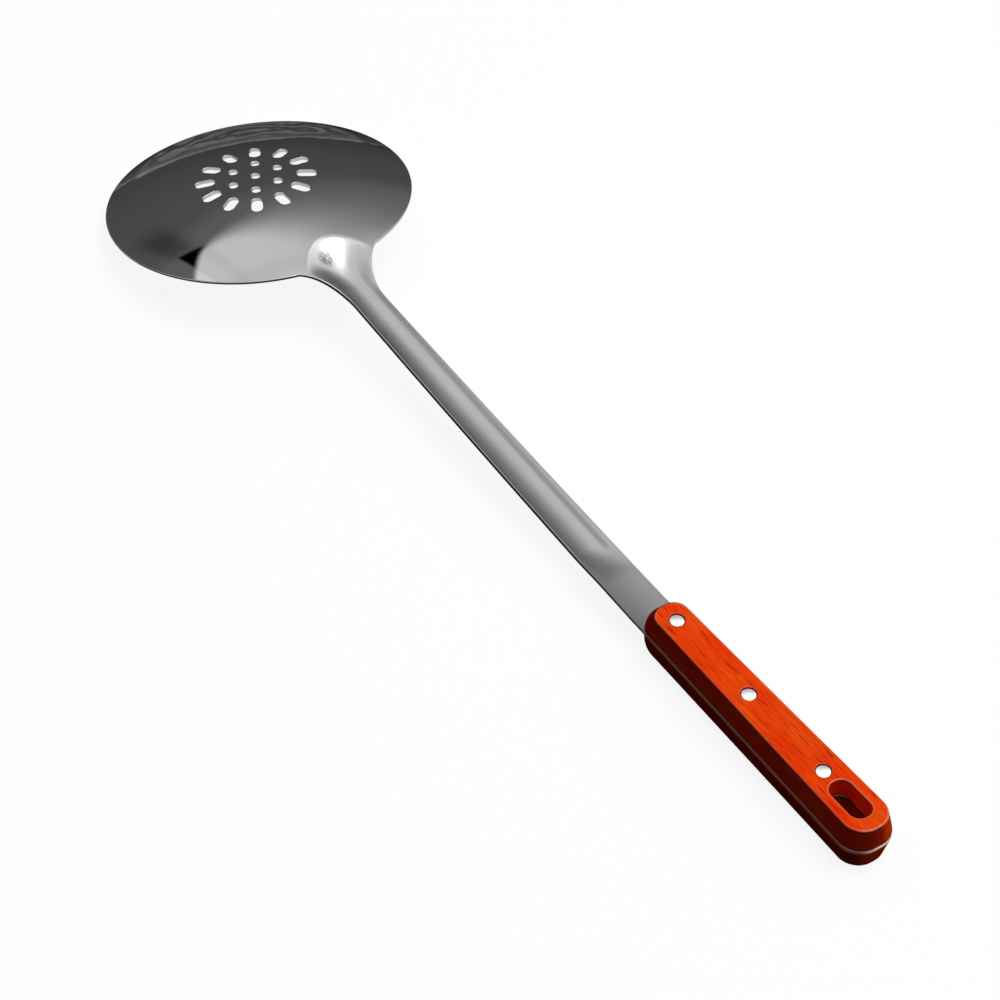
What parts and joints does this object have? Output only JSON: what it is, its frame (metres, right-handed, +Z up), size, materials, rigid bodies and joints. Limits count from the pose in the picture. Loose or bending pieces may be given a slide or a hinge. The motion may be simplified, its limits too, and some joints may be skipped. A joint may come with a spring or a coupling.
{
  "type": "perforated kitchen skimmer",
  "caption": "Long-handled skimmer with a shallow perforated round steel bowl, a gutter-shaped steel shank and a riveted wooden grip with a hanging slot.",
  "frame": {"origin": "on the table, under the middle of the overall length and on the skimmer's middle plane", "axes": "+Z up from the table, +Y along the handle towards the bowl, +X across; the skimmer lies dome side up, as in the picture"},
  "size_m": [0.13, 0.4788, 0.0285],
  "materials": {
    "steel": "polished bowl, satin shank with fine scratches",
    "wood": "orange-red stained hardwood, lacquered, fine dark grain along the grip",
    "rivet_metal": "polished, sanded almost flush with the wood"
  },
  "bodies": {
    "root": {"blade": "steel", "upper_scale": "wood", "lower_scale": "wood", "front_rivet_barrel": "rivet_metal", "front_rivet_pin": "rivet_metal", "middle_rivet_barrel": "rivet_metal", "middle_rivet_pin": "rivet_metal", "rear_rivet_barrel": "rivet_metal", "rear_rivet_pin": "rivet_metal"}
  },
  "joints": []
}
